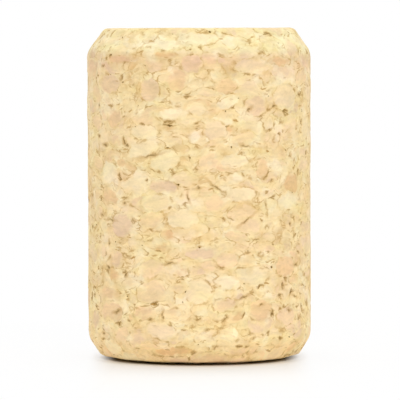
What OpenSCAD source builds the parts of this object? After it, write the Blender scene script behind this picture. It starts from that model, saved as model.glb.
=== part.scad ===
// Cork stopper: one piece of agglomerated cork, ground to a straight barrel
// with a chamfer at each end. It stands on its bottom face, with the axis
// along +Z and the origin at the middle of the bottom face. Millimetres.

/* [Body] */
// Length of the stopper, from end face to end face
cork_len = 38; // [24:0.5:60]
// Diameter of the straight barrel
barrel_dia = 25.8; // [16:0.1:45]

/* [Top chamfer] */
// How far the top chamfer comes in from the barrel
top_chamfer_in = 1.9; // [1:0.1:4]
// How far the top chamfer reaches down the barrel
top_chamfer_drop = 2.8; // [1.5:0.1:6]

/* [Bottom chamfer] */
// How far the bottom chamfer comes in from the barrel
bottom_chamfer_in = 1.4; // [1:0.1:4]
// How far the bottom chamfer reaches up the barrel
bottom_chamfer_rise = 2.1; // [1.5:0.1:6]

/* [Bottom face] */
// How far the bottom rim stands off the bench, as the face is ground a little convex
rim_clearance = 0.4; // [0.1:0.05:0.5]
// How far in from the rim the flat that it stands on begins
seat_inset = 2.2; // [1.5:0.1:3]

/* [Rounding] */
// Radius on the shoulders, where each chamfer runs into the barrel
shoulder_r = 2; // [0.4:0.1:3]
// Radius on the top rim, between the top chamfer and the top face
top_rim_r = 0.8; // [0.2:0.1:1]
// Radius on the bottom rim, between the bottom chamfer and the bottom face
bottom_rim_r = 0.5; // [0.2:0.1:1]

/* [Hidden] */

cork_color = "#f0d5a3";
// Facets around the axis, and chords along each rounded corner
$fn = 96;
arc_steps = 8;

barrel_r = barrel_dia / 2;

// Corners of the half section before rounding, from the bottom face upwards,
// each as [distance from the axis, height]
bottom_centre = [0, 0];
seat_edge = [barrel_r - bottom_chamfer_in - seat_inset, 0];
bottom_rim = [barrel_r - bottom_chamfer_in, rim_clearance];
bottom_shoulder = [barrel_r, rim_clearance + bottom_chamfer_rise];
top_shoulder = [barrel_r, cork_len - top_chamfer_drop];
top_rim = [barrel_r - top_chamfer_in, cork_len];
top_centre = [0, cork_len];

// Direction that the edge from a to b faces, in degrees, away from the cork
function facing(a, b) = atan2(b[1] - a[1], b[0] - a[0]) - 90;

// Points along the arc of radius r that rounds one corner of the half section
function rounded(before, corner, after, r) =
    let (first = facing(before, corner),
         last = facing(corner, after),
         middle = (first + last) / 2,
         centre = corner - r / cos(last - middle) * [cos(middle), sin(middle)])
    [for (i = [0 : arc_steps])
        let (angle = first + (last - first) * i / arc_steps)
        centre + r * [cos(angle), sin(angle)]];

module half_section() {
    polygon(concat(
        [bottom_centre, seat_edge],
        rounded(seat_edge, bottom_rim, bottom_shoulder, bottom_rim_r),
        rounded(bottom_rim, bottom_shoulder, top_shoulder, shoulder_r),
        rounded(bottom_shoulder, top_shoulder, top_rim, shoulder_r),
        rounded(top_shoulder, top_rim, top_centre, top_rim_r),
        [top_centre]
    ));
}

module stopper() {
    color(cork_color) rotate_extrude() half_section();
}

stopper();
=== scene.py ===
"""Looks of the cork stopper: one block of bonded cork granules, ground to a barrel with
chamfered ends. One field of granules, crumbs, joints and pits is worked out twice by the
same function: it carves the relief into the mesh, and it colours the material, so that
every dark crack lies in a real groove. Metres, unless a name ends in _MM."""

import math

import bpy
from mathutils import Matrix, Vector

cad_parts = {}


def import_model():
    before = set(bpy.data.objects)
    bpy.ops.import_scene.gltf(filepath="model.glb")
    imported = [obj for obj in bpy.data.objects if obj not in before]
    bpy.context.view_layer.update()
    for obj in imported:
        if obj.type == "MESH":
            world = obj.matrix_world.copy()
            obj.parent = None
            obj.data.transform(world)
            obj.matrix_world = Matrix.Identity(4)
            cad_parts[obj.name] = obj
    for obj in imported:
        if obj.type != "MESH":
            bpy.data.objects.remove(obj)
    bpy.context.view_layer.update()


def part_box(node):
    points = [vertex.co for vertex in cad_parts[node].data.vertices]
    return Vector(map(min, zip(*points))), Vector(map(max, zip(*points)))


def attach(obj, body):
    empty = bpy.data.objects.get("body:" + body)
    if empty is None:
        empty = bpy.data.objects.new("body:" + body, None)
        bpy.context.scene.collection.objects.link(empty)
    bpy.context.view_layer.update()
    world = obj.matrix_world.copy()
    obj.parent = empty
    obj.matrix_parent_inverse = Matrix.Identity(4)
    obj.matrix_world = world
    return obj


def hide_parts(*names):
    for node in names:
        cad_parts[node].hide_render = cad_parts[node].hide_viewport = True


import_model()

MM = 0.001

# The stopper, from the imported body; its end shapes repeat the body's own
LOW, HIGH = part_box("stopper")
LENGTH = HIGH[2]
BARREL_R = (HIGH[0] - LOW[0]) / 2
TOP_CHAMFER_IN = 1.9 * MM
TOP_CHAMFER_DROP = 2.8 * MM
BOTTOM_CHAMFER_IN = 1.4 * MM
BOTTOM_CHAMFER_RISE = 2.1 * MM
RIM_CLEARANCE = 0.4 * MM
SEAT_INSET = 2.2 * MM
SHOULDER_ROUND = 0.6 * MM
TOP_RIM_ROUND = 0.4 * MM
BOTTOM_RIM_ROUND = 0.2 * MM

TOP_SHOULDER_Z = LENGTH - TOP_CHAMFER_DROP
BOTTOM_SHOULDER_Z = RIM_CLEARANCE + BOTTOM_CHAMFER_RISE
TOP_RIM_R = BARREL_R - TOP_CHAMFER_IN
BOTTOM_RIM_R = BARREL_R - BOTTOM_CHAMFER_IN
SEAT_R = BOTTOM_RIM_R - SEAT_INSET

# Mesh
SEGMENTS = 128
ROUNDING_STEPS = 6
FINISHED_VOXEL = 0.1 * MM
CARVING_VOXEL = FINISHED_VOXEL
MOST_TRIANGLES = 195_000

# Depths carved into the mesh: steps between pieces, open joints, pits, slow lumps, fine grain
PIECE_STEP_MM = 0.04
GROOVE_MM = 0.14
PIT_MM = 0.14
LUMP_MM = 0.1
GRAIN_MM = 0.03

# The flat map of the skin, one unit square: the barrel's strip lies across it near
# the bottom, and the two ends lie side by side above that
STRIP_WIDTH = 0.98
STRIP_BASE = 0.025
TURN_SCALE = STRIP_WIDTH / math.tau
STRIP_SCALE = STRIP_WIDTH / (math.tau * BARREL_R)
END_RADIUS = 0.235
END_SCALE = END_RADIUS / BOTTOM_RIM_R
END_HEIGHT = 0.755
TOP_END_ACROSS = 0.75
BOTTOM_END_ACROSS = 0.25
END_SEAM_IN = 0.3 * MM
SHEET_MIDDLE = 0.5


def linear(hex_code):
    """The linear colour of an sRGB hex value, with full alpha."""
    parts = [int(hex_code[i:i + 2], 16) / 255 for i in (1, 3, 5)]
    return [p / 12.92 if p <= 0.04045 else ((p + 0.055) / 1.055) ** 2.4 for p in parts] + [1.0]


def add(tree, kind, inputs, output=0, **settings):
    """Adds a node, sets it up, fills or links its inputs, and returns one of its outputs."""
    node = tree.nodes.new(kind)
    for name, value in settings.items():
        setattr(node, name, value)
    for key, value in inputs.items():
        if isinstance(value, bpy.types.NodeSocket):
            tree.links.new(value, node.inputs[key])
        else:
            node.inputs[key].default_value = value
    return node.outputs[output] if node.outputs else node


# ---------------------------------------------------------------- the granules

# Sorts of cork piece, finest first: their spacing, least radius and greatest radius
SORTS_MM = ((1.3, 0.3, 0.9), (2.2, 0.7, 1.6), (3.4, 1.1, 2.4))
CRUMB_MM = 0.8
# Spacings of the open lengths of joint, of the pits and of the dashes
OPENING_SPACING_MM = 1.0
PIT_SPACING_MM = 1.0
DASH_SPACING_MM = 1.3
# Pressing has left the pieces wider than tall, and the dashes still more so
FLATTENING = 1.6
DASH_FLATTENING = 3.5
# Bends and rags of every outline, each from one side to the other in X, Y and Z, and what
# takes half of both off again; a listed piece has rags only
BEND_MM = (2.4, 2.4, 1.8)
RAG_MM = (0.8, 0.8, 0.6)
HALF_OF_BOTH_MM = (1.6, 1.6, 1.2)
PLACED_RAG_MM = (1.0, 1.0, 0.8)
# A length of joint has a chance from 0 to 1: it opens from the first of these on, and would
# be fully open at the second. It closes again over the taper at its ends
OPENING_CHANCE = (0.27, 1.05)
OPENING_TAPER_MM = 0.3
# How stained a joint has to be before it opens, and when it is fully open
OPEN_STAIN = (0.2, 0.9)
# Half width of an open joint, where it is least and most open
JOINT_REACH_MM = (0.04, 0.13)
# Pits and dashes, with a chance from 0 to 1 too: the least chance that makes one, the radius
# at most, how soft the edge is, and how far from a joint they start and stop thinning out
LEAST_CHANCE = 0.35
MOST_PIT_MM = 0.2
PIT_EDGE_MM = 0.06
PIT_FROM_JOINT_MM = (0.02, 0.2)
MOST_DASH_MM = 0.6
DASH_EDGE_MM = 0.3
DASH_FROM_JOINT_MM = (0.1, 0.5)
DASH_SHARE_AFAR = 0.15
# The edge of a deep mark, from just outside it to just inside, and how dark it is, against a pit
MARK_EDGE_MM = (-0.02, 0.08)
MARK_SHARE = 0.6
# Stands for a place with no joint near it
FAR_MM = 9.0
# How coarse a listed piece counts, where the coarsest sort is 1
PLACED = 2.0

# How many waves of each noise come in a millimetre, so 0.3 is one every 3.3 mm
BENDS_PER_MM = 0.3
RAGS_PER_MM = 1.3
LUMPS_PER_MM = 0.3
GRAINS_PER_MM = 3.5
# Clouds of crumb tone, softer and firmer edges of granules, and joints with and without a line
CLOUDS_PER_MM = 0.45
EDGES_PER_MM = 0.9
LINES_PER_MM = 0.9
# Mottles and flecks over all, and casts of rose and of yellow
MOTTLES_PER_MM = 0.7
FLECKS_PER_MM = 3.0
ROSY_PER_MM = 0.2
YELLOW_PER_MM = 0.25

# Tones of the pieces that stand out, as places in GRANULE_TONES
BROWN = 0.0
TAN = 0.05
GREY_ROSE = 0.12
ROSY = 0.22
OCHRE = 0.4
LIGHT_ROSE = 0.72
CREAM = 0.86
PALE = 0.99
# Pieces that stand out on the front: tone, X, Z, half width, half height and lean in degrees
FRONT_PIECES_MM = (
    (CREAM, -0.2, 36.8, 2.4, 0.8, 0), (CREAM, -3.8, 36.1, 2.2, 0.6, 0),
    (BROWN, -3.9, 34.9, 1.6, 0.5, 0), (TAN, -9.2, 34.5, 2.0, 0.5, 0),
    (TAN, 9.2, 34.2, 2.0, 0.5, -5), (ROSY, -0.8, 34.0, 1.3, 1.1, 0),
    (LIGHT_ROSE, 6.0, 33.6, 2.4, 0.9, 0), (ROSY, -10.2, 31.7, 2.0, 1.1, 0),
    (TAN, 3.1, 31.5, 1.4, 0.9, 0), (ROSY, -5.6, 31.0, 1.3, 1.3, 0),
    (LIGHT_ROSE, 9.8, 30.2, 2.0, 1.6, 0), (PALE, 3.2, 29.6, 1.4, 0.7, 25),
    (ROSY, 6.4, 29.2, 1.6, 1.2, 0), (CREAM, -0.2, 28.9, 1.0, 0.8, 0),
    (PALE, -3.2, 28.3, 2.0, 0.7, 5), (BROWN, -3.6, 26.8, 1.3, 0.4, -5),
    (CREAM, -6.3, 26.3, 1.8, 0.9, 0), (LIGHT_ROSE, 1.8, 26.5, 1.4, 1.1, 0),
    (CREAM, -6.4, 24.3, 2.1, 0.9, 15), (CREAM, 4.0, 23.1, 1.7, 0.8, 0),
    (TAN, 7.1, 22.2, 0.9, 1.2, 0), (TAN, -8.4, 22.6, 1.8, 0.5, -20),
    (GREY_ROSE, -4.1, 20.2, 1.8, 0.8, 0), (CREAM, 4.8, 19.3, 1.9, 0.9, 5),
    (LIGHT_ROSE, -4.8, 18.4, 1.9, 1.0, 5), (CREAM, -1.9, 16.6, 1.9, 1.1, 0),
    (GREY_ROSE, -8.8, 15.7, 1.7, 1.4, 0), (OCHRE, 3.1, 12.0, 1.4, 0.9, 0),
    (TAN, 9.8, 11.0, 1.7, 1.3, 0), (PALE, 3.2, 9.5, 1.6, 0.9, -10),
    (CREAM, -0.1, 8.5, 1.6, 1.5, 0), (ROSY, 2.9, 6.9, 1.5, 0.8, 5),
    (TAN, 6.9, 6.2, 1.7, 1.3, 0), (ROSY, 10.0, 5.4, 1.8, 1.1, 0),
    (LIGHT_ROSE, -4.4, 4.0, 1.9, 1.0, -10), (BROWN, -3.2, 1.6, 2.4, 0.6, 5))
# Deep marks on the front: X, Z, half length, half width and lean
FRONT_MARKS_MM = (
    (-11.4, 29.3, 0.15, 0.25, 0), (-8.2, 24.8, 0.25, 0.14, 0), (-5.5, 23.7, 1.0, 0.1, 12),
    (-6.0, 20.9, 0.15, 0.17, 0), (-8.5, 18.3, 0.22, 0.13, -30), (-1.2, 19.0, 0.13, 0.5, 10),
    (-0.1, 20.0, 0.3, 0.14, 15), (2.0, 20.1, 0.8, 0.1, -40), (8.5, 29.2, 0.22, 0.16, 0),
    (5.6, 28.8, 0.35, 0.12, 50), (5.3, 24.8, 0.6, 0.1, -10), (8.2, 20.8, 0.2, 0.13, 0),
    (7.6, 18.0, 0.13, 0.4, 20), (5.3, 16.4, 0.7, 0.1, 35), (-10.4, 10.9, 0.35, 0.16, -40),
    (-3.4, 11.6, 0.5, 0.11, 5), (-9.3, 6.0, 0.5, 0.1, 25), (-4.2, 5.8, 0.12, 0.4, 0),
    (-5.6, 5.3, 0.25, 0.16, -15), (9.5, 8.9, 0.2, 0.4, 20), (10.9, 7.5, 0.4, 0.12, -30),
    (7.0, 6.9, 0.35, 0.14, 20), (0.7, 4.1, 0.22, 0.13, 20), (5.0, 7.7, 0.7, 0.1, 25),
    (-10.9, 33.7, 0.3, 0.15, -20), (-11.4, 25.8, 0.25, 0.14, -30), (-10.7, 24.8, 0.4, 0.15, -5),
    (-12.3, 19.0, 0.3, 0.18, 0), (-11.1, 16.8, 0.3, 0.13, 0), (-10.0, 16.3, 0.55, 0.1, -8),
    (-12.3, 15.3, 0.3, 0.22, 0), (-10.3, 13.7, 0.13, 0.3, 0), (-11.0, 3.4, 0.3, 0.16, 0),
    (11.4, 30.4, 0.17, 0.25, 20), (12.3, 23.7, 0.25, 0.22, 0), (10.3, 15.8, 0.2, 0.2, 0),
    (11.0, 11.1, 0.35, 0.12, -10), (9.1, 7.8, 0.22, 0.2, 0), (10.2, 6.0, 0.3, 0.14, -30),
    (9.2, 2.9, 0.22, 0.2, 0))


def front_oval(tree, place, middle_mm, half_width, half_height, lean):
    """How far inside the edge of an oval on the barrel's front a place is, in millimetres."""
    turned = add(tree, "ShaderNodeVectorRotate",
                 {"Vector": place, "Center": middle_mm, "Angle": math.radians(lean)},
                 rotation_type="Y_AXIS") if lean else place
    apart = add(tree, "ShaderNodeVectorMath", {0: turned, 1: middle_mm}, operation="SUBTRACT")
    apart = add(tree, "ShaderNodeVectorMath", {0: apart, 1: (half_width, half_width, half_height)},
                operation="DIVIDE")
    reach = add(tree, "ShaderNodeVectorMath", {0: apart}, "Value", operation="LENGTH")
    least = min(half_width, half_height)
    return add(tree, "ShaderNodeMath", {0: reach, 1: -least, 2: least}, operation="MULTIPLY_ADD")


def on_front(x, z):
    """The place on the front of the blank at X and Z in millimetres, chamfers followed."""
    above = max(0.0, z - TOP_SHOULDER_Z / MM)
    below = max(0.0, BOTTOM_SHOULDER_Z / MM - z)
    radius = (BARREL_R / MM - above * TOP_CHAMFER_IN / TOP_CHAMFER_DROP
              - below * BOTTOM_CHAMFER_IN / BOTTOM_CHAMFER_RISE)
    return (x, -math.sqrt(radius ** 2 - x ** 2), z)


def broken_cork(tree, place, size):
    """Cork broken up at a spacing in millimetres: a random colour for each piece, its middle,
    how far a place is from that, and how far inside the piece's border with the next."""
    first = add(tree, "ShaderNodeTexVoronoi", {"Vector": place, "Scale": 1 / size}).node.outputs
    second = add(tree, "ShaderNodeTexVoronoi", {"Vector": place, "Scale": 1 / size}, feature="F2")
    between = add(tree, "ShaderNodeMath", {0: second, 1: first["Distance"]}, operation="SUBTRACT")
    return {
        "colour": first["Color"],
        "middle": first["Position"],
        "away": add(tree, "ShaderNodeMath", {0: first["Distance"], 1: size}, operation="MULTIPLY"),
        "within": add(tree, "ShaderNodeMath", {0: between, 1: size / 2}, operation="MULTIPLY")}


def spread(tree, place, per_mm, detail, low, high, shift):
    """Noise at a place in millimetres, from 0 where it is under low to 1 over high. The shift
    keeps it apart from other noises."""
    moved = add(tree, "ShaderNodeVectorMath", {0: place, 1: shift}, operation="ADD")
    noise = add(tree, "ShaderNodeTexNoise", {"Vector": moved, "Scale": per_mm, "Detail": detail})
    return add(tree, "ShaderNodeMapRange", {"Value": noise, "From Min": low, "From Max": high})


def lay_piece(tree, field, inside, colour, middle, coarseness):
    """Lays a piece over what is there, where its inside is over 0, and closes the joints
    under it. Inside is how far within its edge a place is, in millimetres."""
    here = add(tree, "ShaderNodeMath", {0: inside, 1: 0.0}, operation="GREATER_THAN")
    edge = add(tree, "ShaderNodeMath", {0: inside}, operation="ABSOLUTE")
    either = add(tree, "ShaderNodeMath", {0: field["joint"], 1: edge}, operation="MINIMUM")
    return {
        "joint": add(tree, "ShaderNodeMix", {0: here, 2: either, 3: edge}),
        "colour": add(tree, "ShaderNodeMix", {0: here, 4: field["colour"], 5: colour}, 1,
                      data_type="VECTOR"),
        "middle": add(tree, "ShaderNodeMix", {0: here, 4: field["middle"], 5: middle}, 1,
                      data_type="VECTOR"),
        "coarseness": add(tree, "ShaderNodeMix", {0: here, 2: field["coarseness"],
                                                  3: coarseness}),
        "crumbs": add(tree, "ShaderNodeMix", {0: here, 2: field["crumbs"], 3: 0.0})}


def granule_field(tree, place):
    """Pieces, joints, pits and dashes at a place in millimetres, as named sockets."""
    # Slow bends and short ragged ones keep every outline uneven
    wander = add(tree, "ShaderNodeTexNoise", {"Vector": place, "Scale": BENDS_PER_MM,
                                              "Detail": 1.0}, "Color")
    bent = add(tree, "ShaderNodeVectorMath", {0: wander, 1: BEND_MM, 2: place},
               operation="MULTIPLY_ADD")
    ragged = add(tree, "ShaderNodeTexNoise", {"Vector": place, "Scale": RAGS_PER_MM,
                                              "Detail": 4.0, "Roughness": 0.6}, "Color")
    bent = add(tree, "ShaderNodeVectorMath", {0: ragged, 1: RAG_MM, 2: bent},
               operation="MULTIPLY_ADD")
    bent = add(tree, "ShaderNodeVectorMath", {0: bent, 1: HALF_OF_BOTH_MM}, operation="SUBTRACT")
    flat = add(tree, "ShaderNodeVectorMath", {0: bent, 1: (1.0, 1.0, FLATTENING)},
               operation="MULTIPLY")
    placed = add(tree, "ShaderNodeVectorMath", {0: ragged, 1: (0.5, 0.5, 0.5)},
                 operation="SUBTRACT")
    placed = add(tree, "ShaderNodeVectorMath", {0: placed, 1: PLACED_RAG_MM, 2: place},
                 operation="MULTIPLY_ADD")

    # Crumbs fill what is left, each coarser sort covers the finer ones, and the pieces that
    # stand out on the front lie over all
    crumb = broken_cork(tree, flat, CRUMB_MM)
    field = {"joint": FAR_MM, "colour": crumb["colour"], "middle": crumb["middle"],
             "coarseness": 0.0, "crumbs": 1.0}
    for number, (size, least, most) in enumerate(SORTS_MM):
        piece = broken_cork(tree, flat, size)
        radius = add(tree, "ShaderNodeSeparateXYZ", {0: piece["colour"]}, 1)
        radius = add(tree, "ShaderNodeMapRange", {"Value": radius, "To Min": least, "To Max": most})
        inside = add(tree, "ShaderNodeMath", {0: radius, 1: piece["away"]}, operation="SUBTRACT")
        inside = add(tree, "ShaderNodeMath", {0: inside, 1: piece["within"]}, operation="MINIMUM")
        field = lay_piece(tree, field, inside, piece["colour"], piece["middle"],
                          (number + 1) / len(SORTS_MM))
    for number, (tone, x, z, half_width, half_height, lean) in enumerate(FRONT_PIECES_MM):
        x, y, z = on_front(x, z)
        inside = front_oval(tree, placed, (x, y, z), half_width, half_height, lean)
        own = (tone, number % 5 / 5 + 0.1, number % 3 / 3 + 0.2)
        field = lay_piece(tree, field, inside, own, (x, y, z * FLATTENING), PLACED)
    outward = add(tree, "ShaderNodeVectorMath", {0: flat, 1: field["middle"]},
                  operation="SUBTRACT")
    crumb_edge = add(tree, "ShaderNodeMix", {0: field["crumbs"], 2: FAR_MM, 3: crumb["within"]})
    any_joint = add(tree, "ShaderNodeMath", {0: field["joint"], 1: crumb_edge},
                    operation="MINIMUM")

    # Short lengths of a joint are open, most of all over and under a piece
    length = broken_cork(tree, bent, OPENING_SPACING_MM)
    opening = add(tree, "ShaderNodeSeparateXYZ", {0: length["colour"]}, 0)
    opening = add(tree, "ShaderNodeMapRange", {"Value": opening, "From Min": OPENING_CHANCE[0],
                                               "From Max": OPENING_CHANCE[1]})
    taper = add(tree, "ShaderNodeMapRange", {"Value": length["within"], "From Min": 0.0,
                                             "From Max": OPENING_TAPER_MM})
    opening = add(tree, "ShaderNodeMath", {0: opening, 1: taper}, operation="MULTIPLY")
    upward = add(tree, "ShaderNodeVectorMath", {0: outward}, operation="NORMALIZE")
    upward = add(tree, "ShaderNodeSeparateXYZ", {0: upward}, 2)
    upward = add(tree, "ShaderNodeMath", {0: upward}, operation="ABSOLUTE")
    upward = add(tree, "ShaderNodeMapRange", {"Value": upward, "From Min": 0.0, "From Max": 0.6,
                                              "To Min": 0.7, "To Max": 1.0})
    stained = add(tree, "ShaderNodeMath", {0: opening, 1: upward}, operation="MULTIPLY")
    openness = add(tree, "ShaderNodeMapRange", {"Value": stained, "From Min": OPEN_STAIN[0],
                                                "From Max": OPEN_STAIN[1]})
    reach = add(tree, "ShaderNodeMapRange", {"Value": openness, "To Min": JOINT_REACH_MM[0],
                                             "To Max": JOINT_REACH_MM[1]})
    crack = add(tree, "ShaderNodeMapRange", {"Value": field["joint"], "From Min": reach,
                                             "From Max": 0.0}, interpolation_type="SMOOTHSTEP")
    crack = add(tree, "ShaderNodeMath", {0: crack, 1: openness}, operation="MULTIPLY")

    # Pits, where pieces don't quite meet
    shifted = add(tree, "ShaderNodeVectorMath", {0: flat, 1: (5.0, 3.0, 23.0)}, operation="ADD")
    pit = broken_cork(tree, shifted, PIT_SPACING_MM)
    radius = add(tree, "ShaderNodeSeparateXYZ", {0: pit["colour"]}, 0)
    radius = add(tree, "ShaderNodeMapRange", {"Value": radius, "From Min": LEAST_CHANCE,
                                              "To Min": 0.0, "To Max": MOST_PIT_MM})
    beside = add(tree, "ShaderNodeMapRange", {"Value": any_joint,
                                              "From Min": PIT_FROM_JOINT_MM[0],
                                              "From Max": PIT_FROM_JOINT_MM[1],
                                              "To Min": 1.0, "To Max": 0.0})
    radius = add(tree, "ShaderNodeMath", {0: radius, 1: beside}, operation="MULTIPLY")
    inside = add(tree, "ShaderNodeMath", {0: radius, 1: pit["away"]}, operation="SUBTRACT")
    pitted = add(tree, "ShaderNodeMapRange", {"Value": inside, "From Min": 0.0,
                                              "From Max": PIT_EDGE_MM},
                 interpolation_type="SMOOTHSTEP")

    # Deep marks on the front
    marked = -FAR_MM
    for x, z, half_length, half_width, lean in FRONT_MARKS_MM:
        inside = front_oval(tree, placed, on_front(x, z), half_length, half_width, lean)
        marked = add(tree, "ShaderNodeMath", {0: marked, 1: inside}, operation="MAXIMUM")
    deep = add(tree, "ShaderNodeMapRange", {"Value": marked, "From Min": MARK_EDGE_MM[0],
                                            "From Max": MARK_EDGE_MM[1]},
               interpolation_type="SMOOTHSTEP")
    deep = add(tree, "ShaderNodeMath", {0: deep, 1: MARK_SHARE}, operation="MULTIPLY")
    pitted = add(tree, "ShaderNodeMath", {0: pitted, 1: deep}, operation="MAXIMUM")

    # Fine level dashes of bark, about a millimetre long, mostly beside joints
    level = add(tree, "ShaderNodeVectorMath", {0: bent, 1: (1.0, 1.0, DASH_FLATTENING)},
                operation="MULTIPLY")
    dash = broken_cork(tree, level, DASH_SPACING_MM)
    radius = add(tree, "ShaderNodeSeparateXYZ", {0: dash["colour"]}, 0)
    radius = add(tree, "ShaderNodeMapRange", {"Value": radius, "From Min": LEAST_CHANCE,
                                              "To Min": 0.0, "To Max": MOST_DASH_MM})
    inside = add(tree, "ShaderNodeMath", {0: radius, 1: dash["away"]}, operation="SUBTRACT")
    dashed = add(tree, "ShaderNodeMapRange", {"Value": inside, "From Min": 0.0,
                                              "From Max": DASH_EDGE_MM},
                 interpolation_type="SMOOTHSTEP")
    beside = add(tree, "ShaderNodeMapRange", {"Value": any_joint,
                                              "From Min": DASH_FROM_JOINT_MM[0],
                                              "From Max": DASH_FROM_JOINT_MM[1],
                                              "To Min": 1.0, "To Max": DASH_SHARE_AFAR})
    dashed = add(tree, "ShaderNodeMath", {0: dashed, 1: beside}, operation="MULTIPLY")
    tone = add(tree, "ShaderNodeSeparateXYZ", {0: dash["colour"]}, 1)
    tone = add(tree, "ShaderNodeMapRange", {"Value": tone, "To Min": 0.2, "To Max": 1.0})
    dashed = add(tree, "ShaderNodeMath", {0: tone, 1: dashed}, operation="MULTIPLY")
    return {"colour": field["colour"], "coarseness": field["coarseness"], "joint": field["joint"],
            "outward": outward, "bent": bent, "stained": stained, "crack": crack, "pitted": pitted,
            "marked": marked, "dashed": dashed}


# ---------------------------------------------------------------- the mesh

def deselect_all():
    """Leaves nothing selected or active, so that an operator acts only on what is picked next."""
    for thing in bpy.context.selected_objects:
        thing.select_set(False)
    bpy.context.view_layer.objects.active = None


def select_faces(mesh, chosen):
    """In edit mode, selects only the faces for which chosen(face) is true."""
    bpy.ops.mesh.select_all(action="DESELECT")
    bpy.ops.object.mode_set(mode="OBJECT")
    for face in mesh.polygons:
        face.select = chosen(face)
    bpy.ops.object.mode_set(mode="EDIT")


def select_ring(mesh, height):
    """In edit mode, selects the ring of edges at a height."""
    bpy.ops.mesh.select_mode(type="VERT")
    bpy.ops.mesh.select_all(action="DESELECT")
    bpy.ops.object.mode_set(mode="OBJECT")
    for vertex in mesh.vertices:
        vertex.select = abs(vertex.co.z - height) < 0.01 * MM
    bpy.ops.object.mode_set(mode="EDIT")
    bpy.ops.mesh.select_mode(type="EDGE")


def draw_out(step, ratio):
    """Extrudes the selected end face by step and scales it about the axis."""
    bpy.ops.mesh.extrude_region_move(TRANSFORM_OT_translate={"value": (0, 0, step)})
    bpy.ops.transform.resize(value=(ratio, ratio, 1), center_override=(0, 0, 0))


def apply(modifier):
    """Makes what a modifier of the active piece does part of its mesh."""
    bpy.ops.object.modifier_apply(modifier=modifier.name)


def turned_blank():
    """The plain turned shape: barrel, chamfers, slightly convex bottom, rounded edges."""
    deselect_all()
    bpy.ops.mesh.primitive_cylinder_add(
        vertices=SEGMENTS, radius=BARREL_R, depth=TOP_SHOULDER_Z - BOTTOM_SHOULDER_Z,
        location=(0, 0, (TOP_SHOULDER_Z + BOTTOM_SHOULDER_Z) / 2))
    piece = bpy.context.object
    piece.name = "cork_body"
    piece.data.name = "cork_body"
    bpy.ops.object.transform_apply(location=True, rotation=True, scale=True)
    bpy.ops.object.mode_set(mode="EDIT")
    bpy.ops.mesh.select_mode(type="FACE")
    select_faces(piece.data, lambda face: face.normal.z > 0.9)
    draw_out(TOP_CHAMFER_DROP, TOP_RIM_R / BARREL_R)
    select_faces(piece.data, lambda face: face.normal.z < -0.9)
    draw_out(-BOTTOM_CHAMFER_RISE, BOTTOM_RIM_R / BARREL_R)
    draw_out(-RIM_CLEARANCE, SEAT_R / BOTTOM_RIM_R)
    for height, width in ((TOP_SHOULDER_Z, SHOULDER_ROUND), (BOTTOM_SHOULDER_Z, SHOULDER_ROUND),
                          (LENGTH, TOP_RIM_ROUND), (RIM_CLEARANCE, BOTTOM_RIM_ROUND)):
        select_ring(piece.data, height)
        bpy.ops.mesh.bevel(offset=width, segments=ROUNDING_STEPS)
    bpy.ops.object.mode_set(mode="OBJECT")
    return piece


def carving_tree():
    """Geometry nodes that remember where each point was, then sink joints and pits."""
    tree = bpy.data.node_groups.new("cork carving", "GeometryNodeTree")
    tree.interface.new_socket("Geometry", in_out="INPUT", socket_type="NodeSocketGeometry")
    tree.interface.new_socket("Geometry", in_out="OUTPUT", socket_type="NodeSocketGeometry")
    blank = add(tree, "NodeGroupInput", {})
    position = add(tree, "GeometryNodeInputPosition", {})
    marked = add(tree, "GeometryNodeStoreNamedAttribute",
                 {"Geometry": blank, "Name": "ground", "Value": position},
                 data_type="FLOAT_VECTOR", domain="POINT")
    place = add(tree, "ShaderNodeVectorMath", {0: position, 3: 1 / MM}, operation="SCALE")
    field = granule_field(tree, place)

    level = add(tree, "ShaderNodeSeparateXYZ", {0: field["colour"]}, 2)
    level = add(tree, "ShaderNodeMapRange", {"Value": level, "To Min": -PIECE_STEP_MM,
                                             "To Max": 0.0})
    groove = add(tree, "ShaderNodeMath", {0: field["crack"], 1: -GROOVE_MM}, operation="MULTIPLY")
    pit = add(tree, "ShaderNodeMath", {0: field["pitted"], 1: -PIT_MM}, operation="MULTIPLY")
    lump = add(tree, "ShaderNodeTexNoise", {"Vector": place, "Scale": LUMPS_PER_MM, "Detail": 2.0})
    lump = add(tree, "ShaderNodeMapRange", {"Value": lump, "From Min": 0.3, "From Max": 0.7,
                                            "To Min": -LUMP_MM, "To Max": 0.0})
    grain = add(tree, "ShaderNodeTexNoise", {"Vector": place, "Scale": GRAINS_PER_MM,
                                             "Detail": 3.0})
    grain = add(tree, "ShaderNodeMapRange", {"Value": grain, "From Min": 0.3, "From Max": 0.7,
                                             "To Min": -GRAIN_MM, "To Max": 0.0})
    sunk = level
    for part in (groove, pit, lump, grain):
        sunk = add(tree, "ShaderNodeMath", {0: sunk, 1: part}, operation="ADD")
    sunk = add(tree, "ShaderNodeMath", {0: sunk, 1: MM}, operation="MULTIPLY")
    normal = add(tree, "GeometryNodeInputNormal", {})
    offset = add(tree, "ShaderNodeVectorMath", {0: normal, 3: sunk}, operation="SCALE")
    carved = add(tree, "GeometryNodeSetPosition", {"Geometry": marked, "Offset": offset})
    add(tree, "NodeGroupOutput", {0: carved})
    return tree


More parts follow.
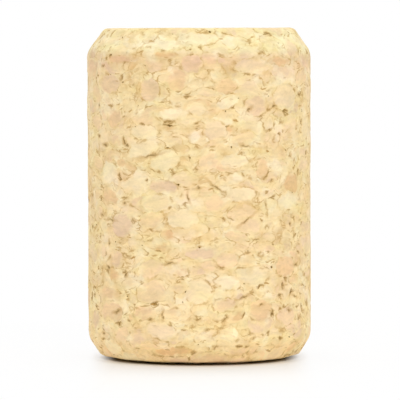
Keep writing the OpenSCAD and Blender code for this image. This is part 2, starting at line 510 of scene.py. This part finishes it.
def unroll(mesh):
    """Lays the skin out flat on a map: the barrel and its chamfers
    unrolled along the bottom, and the two ends side by side above it."""
    sheet = []
    for face in mesh.polygons:
        x, y, z = face.center
        upper = z > LENGTH / 2
        rim = TOP_RIM_R if upper else BOTTOM_RIM_R
        is_end = math.hypot(x, y) < rim - END_SEAM_IN
        middle = math.atan2(y, x)
        for index in face.vertices:
            x, y, z = mesh.vertices[index].co
            if is_end:
                across = TOP_END_ACROSS + x * END_SCALE if upper else BOTTOM_END_ACROSS - x * END_SCALE
                sheet += across, END_HEIGHT + y * END_SCALE
            else:
                angle = middle + math.remainder(math.atan2(y, x) - middle, math.tau)
                inwards = BARREL_R - math.hypot(x, y)
                along = z + inwards if upper else z - inwards
                sheet += SHEET_MIDDLE + angle * TURN_SCALE, STRIP_BASE + along * STRIP_SCALE
    mesh.uv_layers.new(name="OFBake").data.foreach_set("uv", sheet)


def cork_body():
    """The blank, remeshed finely, carved, and thinned to the triangles that an export keeps."""
    piece = turned_blank()
    fine = piece.modifiers.new("fine", "REMESH")
    fine.mode = "VOXEL"
    fine.voxel_size = CARVING_VOXEL
    fine.use_smooth_shade = True
    apply(fine)
    carving = piece.modifiers.new("carving", "NODES")
    carving.node_group = carving_tree()
    apply(carving)
    thin = piece.modifiers.new("thin", "DECIMATE")
    triangles = sum(len(face.vertices) - 2 for face in piece.data.polygons)
    thin.ratio = min(1.0, MOST_TRIANGLES / triangles)
    apply(thin)
    unroll(piece.data)
    return piece


# ---------------------------------------------------------------- the material

# Tones, each with where it starts between 0 and 1: those of the granules run from rosy tan
# to cream, and those of the crumbs between them are yellower
GRANULE_TONES = (
    (0.00, "#e6bf88"), (0.05, "#efcc99"), (0.12, "#eacca3"), (0.25, "#f0d0a4"),
    (0.40, "#f3d4a2"), (0.55, "#f4d7a9"), (0.72, "#f5dbad"), (0.84, "#f7dfaf"),
    (0.94, "#fae6ba"))
CRUMB_TONES = (
    (0.00, "#e5c488"), (0.14, "#edd097"), (0.32, "#f3d8a0"), (0.62, "#f6dea9"),
    (0.85, "#fae6b9"))
OPEN_JOINT_COLOUR = "#785d1c"
BARK_COLOUR = "#bc9252"
# How dark an open joint is, against a pit
JOINT_SHARE = 0.8
# How far in a granule's edge fades to crumb colour, and how far bark colour reaches from a
# stained joint, each at least and at most; how far it reaches round a deep mark, and from a
# closed joint that it lines
EDGE_FADE_MM = (0.15, 1.4)
BARK_REACH_MM = (0.1, 0.45)
MARK_HALO_MM = 0.18
LINE_REACH_MM = 0.12
# How light the darker and the lighter side of a granule are, and how far out from its middle
GRANULE_SIDES = (0.93, 1.07)
SIDE_MM = 1.5
# Mottles are drawn out level, and like flecks they run from darker to lighter
MOTTLE_FLATTENING = 3.0
MOTTLE_SHADES = (0.875, 1.07)
FLECK_SHADES = (0.975, 1.025)
# Colour multipliers at the two ends of the slow casts of rose and of yellow
ROSY_TINTS = ((0.985, 1.006, 0.985), (1.012, 0.979, 1.012))
YELLOW_TINTS = ((1.01, 1.012, 1.085), (0.994, 1.0, 0.945))
# Colour multipliers by height, each coming in from its first height to its second: the bottom
# chamfer, lighter as painted light from the floor and a little more orange; the low wall, lighter
# as painted light from the floor; darker and more tan just under the top shoulder; and the top
# chamfer on from that shoulder
HEIGHT_TINTS_AND_PAINTED_LIGHT_MM = (
    ((1.04, 1.01, 0.98), 3.0, 1.5), ((1.045, 1.05, 1.05), 9.5, 5.0),
    ((0.95, 0.91, 0.93), 32.6, 34.2), ((0.97 / 0.95, 1.04 / 0.91, 1.055 / 0.93), 34.6, 35.8))


def tone_ramp(tree, chance, tones):
    """One of a few tones, picked by a number from 0 to 1."""
    picked = add(tree, "ShaderNodeValToRGB", {0: chance})
    ramp = picked.node.color_ramp
    while len(ramp.elements) < len(tones):
        ramp.elements.new(0.5)
    for element, (start, code) in zip(ramp.elements, tones):
        element.position = start
        element.color = linear(code)
    return picked


def granules_in_crumbs(tree, field, place):
    """The colour of the cork without its joints: granules in yellower crumbs."""
    chance = add(tree, "ShaderNodeSeparateXYZ", {0: field["colour"]}, 0)
    granule = tone_ramp(tree, chance, GRANULE_TONES)
    cloud = spread(tree, place, CLOUDS_PER_MM, 4.0, 0.35, 0.65, (7.0, 19.0, 3.0))
    loose = add(tree, "ShaderNodeMapRange", {"Value": field["coarseness"], "From Max": 0.3,
                                             "To Min": 0.5, "To Max": 0.08})
    own = add(tree, "ShaderNodeMix", {0: loose, 2: cloud, 3: chance})
    crumb = tone_ramp(tree, own, CRUMB_TONES)

    # Each granule is lighter towards one side, and turns to crumb colour at its edge
    heading = add(tree, "ShaderNodeVectorMath", {0: field["colour"], 1: (0.5, 0.5, 0.5)},
                  operation="SUBTRACT")
    heading = add(tree, "ShaderNodeVectorMath", {0: heading}, operation="NORMALIZE")
    along = add(tree, "ShaderNodeVectorMath", {0: field["outward"], 1: heading}, "Value",
                operation="DOT_PRODUCT")
    slope = add(tree, "ShaderNodeMapRange", {"Value": along, "From Min": -SIDE_MM,
                                             "From Max": SIDE_MM, "To Min": GRANULE_SIDES[0],
                                             "To Max": GRANULE_SIDES[1]})
    granule = add(tree, "ShaderNodeVectorMath", {0: granule, 3: slope}, operation="SCALE")
    edge_mm = spread(tree, place, EDGES_PER_MM, 1.0, 0.35, 0.65, (11.0, 2.0, 5.0))
    edge_mm = add(tree, "ShaderNodeMapRange", {"Value": edge_mm, "To Min": EDGE_FADE_MM[0],
                                               "To Max": EDGE_FADE_MM[1]})
    firmer = add(tree, "ShaderNodeMapRange", {"Value": field["coarseness"], "From Min": 1.0,
                                              "From Max": PLACED, "To Min": 1.0, "To Max": 0.4})
    edge_mm = add(tree, "ShaderNodeMath", {0: edge_mm, 1: firmer}, operation="MULTIPLY")
    core = add(tree, "ShaderNodeMapRange", {"Value": field["joint"], "From Min": 0.0,
                                            "From Max": edge_mm}, interpolation_type="SMOOTHSTEP")
    core = add(tree, "ShaderNodeMapRange", {"Value": core, "To Min": 0.15, "To Max": 1.0})
    share = add(tree, "ShaderNodeMath", {0: field["coarseness"], 1: 1.0}, operation="MINIMUM")
    core = add(tree, "ShaderNodeMath", {0: core, 1: share}, operation="MULTIPLY")
    return add(tree, "ShaderNodeMix", {0: core, 6: crumb, 7: granule}, 2, data_type="RGBA")


def mottled(tree, body, field, place):
    """The colour with what varies over a few granules: mottle, flecks and slow tints."""
    drawn = add(tree, "ShaderNodeVectorMath", {0: field["bent"], 1: (1.0, 1.0, MOTTLE_FLATTENING)},
                operation="MULTIPLY")
    mottle = add(tree, "ShaderNodeTexNoise", {"Vector": drawn, "Scale": MOTTLES_PER_MM,
                                              "Detail": 4.0, "Roughness": 0.65})
    mottle = add(tree, "ShaderNodeMapRange", {"Value": mottle, "From Min": 0.3, "From Max": 0.7,
                                              "To Min": MOTTLE_SHADES[0],
                                              "To Max": MOTTLE_SHADES[1]})
    body = add(tree, "ShaderNodeVectorMath", {0: body, 3: mottle}, operation="SCALE")
    fleck = add(tree, "ShaderNodeTexNoise", {"Vector": place, "Scale": FLECKS_PER_MM,
                                             "Detail": 1.0})
    fleck = add(tree, "ShaderNodeMapRange", {"Value": fleck, "From Min": 0.3, "From Max": 0.7,
                                             "To Min": FLECK_SHADES[0],
                                             "To Max": FLECK_SHADES[1]})
    body = add(tree, "ShaderNodeVectorMath", {0: body, 3: fleck}, operation="SCALE")
    for per_mm, shift, (first, last) in ((ROSY_PER_MM, (2.0, 31.0, 11.0), ROSY_TINTS),
                                         (YELLOW_PER_MM, (23.0, 3.0, 17.0), YELLOW_TINTS)):
        slow = spread(tree, drawn, per_mm, 2.0, 0.3, 0.7, shift)
        tint = add(tree, "ShaderNodeMix", {0: slow, 4: first, 5: last}, 1, data_type="VECTOR")
        body = add(tree, "ShaderNodeVectorMath", {0: body, 1: tint}, operation="MULTIPLY")
    return body


def tinted_and_painted_light_by_height(tree, body, ground):
    """The colour with its differences by height: painted light from the floor that lightens the low
    wall and bottom chamfer, the bottom chamfer also a little more orange, darker and more tan just
    under the top shoulder, and the top chamfer's tint.
    """
    height = add(tree, "ShaderNodeSeparateXYZ", {0: ground}, 2)
    for tint, near, far in HEIGHT_TINTS_AND_PAINTED_LIGHT_MM:
        share = add(tree, "ShaderNodeMapRange", {"Value": height, "From Min": near * MM,
                                                 "From Max": far * MM},
                    interpolation_type="SMOOTHSTEP")
        tint = add(tree, "ShaderNodeMix", {0: share, 4: (1.0, 1.0, 1.0), 5: tint}, 1,
                   data_type="VECTOR")
        body = add(tree, "ShaderNodeVectorMath", {0: body, 1: tint}, operation="MULTIPLY")
    return body


def barked(tree, body, field, place):
    """The colour with the brown of bark along stained joints, round deep marks, in dashes and
    as thin lines on some of the closed joints."""
    reach = add(tree, "ShaderNodeMapRange", {"Value": field["stained"],
                                             "To Min": BARK_REACH_MM[0],
                                             "To Max": BARK_REACH_MM[1]})
    bark = add(tree, "ShaderNodeMapRange", {"Value": field["joint"], "From Min": reach,
                                            "From Max": 0.0}, interpolation_type="SMOOTHSTEP")
    strength = add(tree, "ShaderNodeMapRange", {"Value": field["stained"], "From Max": 0.5,
                                                "To Max": 0.75})
    bark = add(tree, "ShaderNodeMath", {0: bark, 1: strength}, operation="MULTIPLY")
    halo = add(tree, "ShaderNodeMapRange", {"Value": field["marked"], "From Min": -MARK_HALO_MM,
                                            "From Max": 0.0, "To Max": 0.5})
    lined = spread(tree, place, LINES_PER_MM, 2.0, 0.52, 0.68, (31.0, 7.0, 13.0))
    line = add(tree, "ShaderNodeMapRange", {"Value": field["joint"], "From Min": LINE_REACH_MM,
                                            "From Max": 0.0, "To Max": 0.8},
               interpolation_type="SMOOTHSTEP")
    line = add(tree, "ShaderNodeMath", {0: line, 1: lined}, operation="MULTIPLY")
    for more in (halo, field["dashed"], line):
        bark = add(tree, "ShaderNodeMath", {0: bark, 1: more}, operation="MAXIMUM")
    return add(tree, "ShaderNodeMix", {0: bark, 6: body, 7: linear(BARK_COLOUR)}, 2,
               data_type="RGBA")


def cork():
    """Agglomerated cork, ground and left bare: matte; granules of rosy, tan and pale cream
    cork in yellower crumbs of it, with dark open joints and pits."""
    material = bpy.data.materials.new("agglomerated cork")
    material.use_nodes = True
    tree = material.node_tree
    tree.nodes.clear()
    ground = add(tree, "ShaderNodeAttribute", {}, "Vector", attribute_name="ground")
    place = add(tree, "ShaderNodeVectorMath", {0: ground, 3: 1 / MM}, operation="SCALE")
    field = granule_field(tree, place)
    body = granules_in_crumbs(tree, field, place)
    body = mottled(tree, body, field, place)
    # Painted light from the floor lightens the low wall and bottom chamfer
    body = tinted_and_painted_light_by_height(tree, body, ground)
    body = barked(tree, body, field, place)
    crack = add(tree, "ShaderNodeMath", {0: field["crack"], 1: JOINT_SHARE}, operation="MULTIPLY")
    dark = add(tree, "ShaderNodeMath", {0: crack, 1: field["pitted"]}, operation="MAXIMUM")
    body = add(tree, "ShaderNodeMix", {0: dark, 6: body, 7: linear(OPEN_JOINT_COLOUR)}, 2,
               data_type="RGBA")
    shader = add(tree, "ShaderNodeBsdfPrincipled", {"Base Color": body, "Roughness": 0.9,
                                                    "Specular IOR Level": 0.25})
    add(tree, "ShaderNodeOutputMaterial", {"Surface": shader})
    return material


# ---------------------------------------------------------------- stage, light and camera

# The camera looks at the front from a little above; its tilt and roll are in radians
CAMERA_AWAY = 0.416
CAMERA_RIGHT = 0.00013
CAMERA_UP = 0.038
CAMERA_TILT = 0.0477
CAMERA_ROLL = 0.0026
LENS_MM = 325.1

# Light that falls from all round, and the lamps' places, widths and powers in watts
SKY_STRENGTH = 0.8
TOP_SOFTBOX = ((0.0, 0.07, 0.65), 0.3, 1.2)
SIDE_SOFTBOX = ((0.12, -0.48, 0.32), 0.5, 0.75)

# The paper floor: how light it is to what stands on it, and to the camera in the open and in
# a painted contact shadow round the foot, warm like light bounced off the cork
PAPER = (0.9, 0.9, 0.9, 1.0)
SEEN_PAPER = (0.86, 0.86, 0.86)
PAINTED_CONTACT_SHADOW = (0.33, 0.25, 0.15)
# Where the painted contact shadow fades out, by distance from the axis
PAINTED_SHADOW_FROM_MM = 10.0
PAINTED_SHADOW_TO_MM = 11.3
# Where the paper turns whiter to the camera: painted light that lifts the stopper's shadow
# behind the front, but clear of the foot, and to the sides; and far away, plain white. Each has a
# first and a last distance, and how white it gets
BEHIND_FROM_MM = -7.0
BEHIND_TO_MM = -2.0
BEHIND_PAINTED_LIGHT = 0.7
CLEAR_FROM_MM = 10.7
CLEAR_TO_MM = 11.8
SIDE_FROM_MM = 9.5
SIDE_TO_MM = 13.0
SIDE_PAINTED_LIGHT = 0.9
FAR_FROM_MM = 25.0
FAR_TO_MM = 60.0
FLOOR_WIDTH = 60.0


def seen_straight(tree):
    """1 where the camera sees a place, straight or by gloss or glass, and 0 where light falls."""
    path = add(tree, "ShaderNodeLightPath", {}).node.outputs
    either = add(tree, "ShaderNodeMath", {0: path["Is Camera Ray"], 1: path["Is Glossy Ray"]},
                 operation="MAXIMUM")
    return add(tree, "ShaderNodeMath", {0: either, 1: path["Is Transmission Ray"]},
               operation="MAXIMUM")


def floor_material():
    """Matt white paper. To the camera it has a painted contact shadow round the foot, and painted
    light beside and behind the stopper that lifts its shadow there, so the shadow lies in front;
    far away it is plain white."""
    material = bpy.data.materials.new("matt white paper")
    material.use_nodes = True
    tree = material.node_tree
    tree.nodes.clear()
    plain = add(tree, "ShaderNodeBsdfDiffuse", {"Color": PAPER})
    place = add(tree, "ShaderNodeTexCoord", {}, "Object")
    away = add(tree, "ShaderNodeVectorMath", {0: place}, "Value", operation="LENGTH")
    # Painted contact shadow round the foot, seen by the camera only
    lit = add(tree, "ShaderNodeMapRange", {"Value": away, "From Min": PAINTED_SHADOW_FROM_MM * MM,
                                           "From Max": PAINTED_SHADOW_TO_MM * MM})
    paper = add(tree, "ShaderNodeMix", {0: lit, 4: PAINTED_CONTACT_SHADOW, 5: SEEN_PAPER}, 1,
                data_type="VECTOR")
    paper = add(tree, "ShaderNodeBsdfDiffuse", {"Color": paper})
    white = add(tree, "ShaderNodeEmission", {"Color": (1.0, 1.0, 1.0, 1.0), "Strength": 1.0})

    # Painted light that lifts the stopper's shadow behind it, clear of the foot, and to its sides
    behind = add(tree, "ShaderNodeSeparateXYZ", {0: place}, 1)
    behind = add(tree, "ShaderNodeMapRange", {"Value": behind, "From Min": BEHIND_FROM_MM * MM,
                                              "From Max": BEHIND_TO_MM * MM,
                                              "To Max": BEHIND_PAINTED_LIGHT},
                 interpolation_type="SMOOTHSTEP")
    clear = add(tree, "ShaderNodeMapRange", {"Value": away, "From Min": CLEAR_FROM_MM * MM,
                                             "From Max": CLEAR_TO_MM * MM},
                interpolation_type="SMOOTHSTEP")
    behind = add(tree, "ShaderNodeMath", {0: behind, 1: clear}, operation="MULTIPLY")
    far = add(tree, "ShaderNodeMapRange", {"Value": away, "From Min": FAR_FROM_MM * MM,
                                           "From Max": FAR_TO_MM * MM},
              interpolation_type="SMOOTHSTEP")
    sideways = add(tree, "ShaderNodeSeparateXYZ", {0: place}, 0)
    sideways = add(tree, "ShaderNodeMath", {0: sideways}, operation="ABSOLUTE")
    sideways = add(tree, "ShaderNodeMapRange", {"Value": sideways, "From Min": SIDE_FROM_MM * MM,
                                                "From Max": SIDE_TO_MM * MM,
                                                "To Max": SIDE_PAINTED_LIGHT},
                   interpolation_type="SMOOTHSTEP")
    whiter = add(tree, "ShaderNodeMath", {0: behind, 1: far}, operation="MAXIMUM")
    whiter = add(tree, "ShaderNodeMath", {0: whiter, 1: sideways}, operation="MAXIMUM")
    seen = add(tree, "ShaderNodeMixShader", {0: whiter, 1: paper, 2: white})
    both = add(tree, "ShaderNodeMixShader", {0: seen_straight(tree), 1: plain, 2: seen})
    add(tree, "ShaderNodeOutputMaterial", {"Surface": both})
    return material


def stage():
    """A wide floor of paper that the stopper stands on."""
    deselect_all()
    bpy.ops.mesh.primitive_plane_add(size=FLOOR_WIDTH, location=(0, 0, 0))
    floor = bpy.context.object
    floor.name = "floor"
    floor.data.materials.append(floor_material())


def world():
    """A white studio, pure white to the camera and a little less to what it lights."""
    sky = bpy.data.worlds.new("white studio")
    bpy.context.scene.world = sky
    sky.use_nodes = True
    tree = sky.node_tree
    tree.nodes.clear()
    lit = add(tree, "ShaderNodeBackground", {"Color": (1.0, 1.0, 1.0, 1.0),
                                             "Strength": SKY_STRENGTH})
    seen = add(tree, "ShaderNodeBackground", {"Color": (1.0, 1.0, 1.0, 1.0), "Strength": 1.0})
    both = add(tree, "ShaderNodeMixShader", {0: seen_straight(tree), 1: lit, 2: seen})
    add(tree, "ShaderNodeOutputWorld", {"Surface": both})


def softbox(name, place, size, power):
    """A square lamp that faces the middle of the stopper."""
    light = bpy.data.lights.new(name, "AREA")
    light.shape = "SQUARE"
    light.size = size
    light.energy = power
    lamp = bpy.data.objects.new(name, light)
    bpy.context.scene.collection.objects.link(lamp)
    lamp.location = place
    aim = -lamp.location
    aim.z += LENGTH / 2
    lamp.rotation_euler = aim.to_track_quat("-Z", "Y").to_euler()


def camera():
    """A long lens in front of the stopper."""
    lens = bpy.data.cameras.new("camera")
    lens.sensor_width = 36.0
    lens.lens = LENS_MM
    lens.clip_start = 0.01
    lens.clip_end = 100.0
    eye = bpy.data.objects.new("camera", lens)
    bpy.context.scene.collection.objects.link(eye)
    eye.location = (CAMERA_RIGHT, -CAMERA_AWAY, CAMERA_UP)
    eye.rotation_euler = (math.pi / 2 - CAMERA_TILT, CAMERA_ROLL, 0)
    bpy.context.scene.camera = eye


stopper = cork_body()
stopper.data.materials.clear()
stopper.data.materials.append(cork())
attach(stopper, "root")
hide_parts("stopper")
stage()
world()
softbox("top_softbox", *TOP_SOFTBOX)
softbox("side_softbox", *SIDE_SOFTBOX)
camera()
bpy.context.scene.view_settings.view_transform = "Standard"
